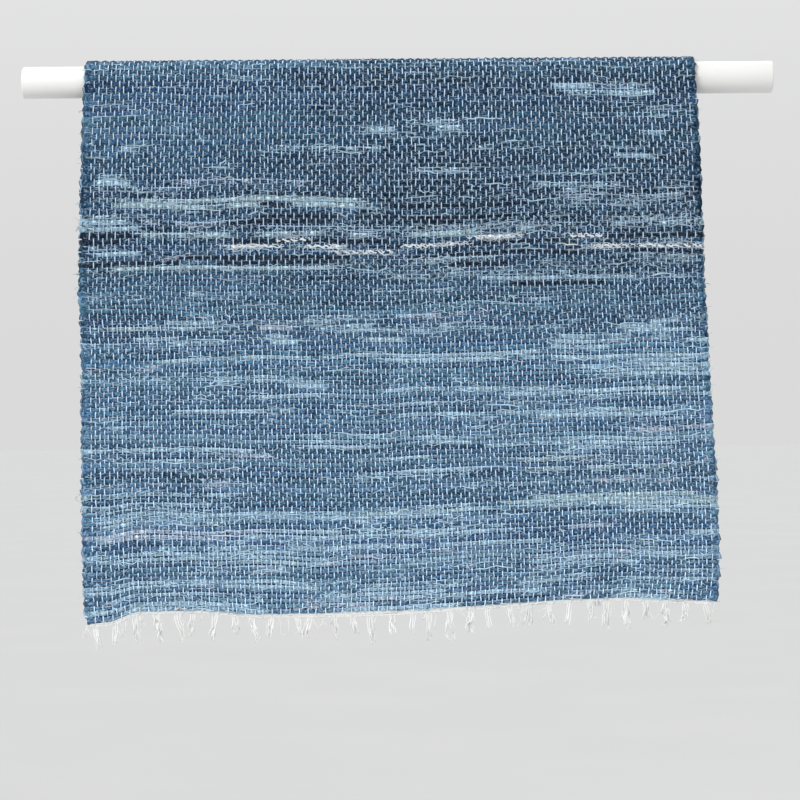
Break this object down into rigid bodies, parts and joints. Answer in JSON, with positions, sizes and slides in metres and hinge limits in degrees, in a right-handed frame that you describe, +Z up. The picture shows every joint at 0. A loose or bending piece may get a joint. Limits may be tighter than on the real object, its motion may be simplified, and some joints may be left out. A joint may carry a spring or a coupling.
{
  "type": "denim rag rug hung over a pole",
  "caption": "Handwoven denim rag rug with a white cotton fringe at both hems, draped over a plain round white pole.",
  "frame": {"origin": "middle of the pole, on its axis", "axes": "+X along the pole, to the right as the rug's face is seen; -Y out of the rug's face; +Z up"},
  "size_m": [0.83, 0.0594, 0.649],
  "materials": {
    "denim_weave": "plain-woven strips of worn blue denim with white cotton warp",
    "cotton_warp": "matt off-white twisted cotton yarn",
    "white_paint": "satin white paint"
  },
  "bodies": {
    "root": {"rug_cloth": "denim_weave", "fringe_front": "cotton_warp", "fringe_back": "cotton_warp", "pole": "white_paint"}
  },
  "joints": []
}
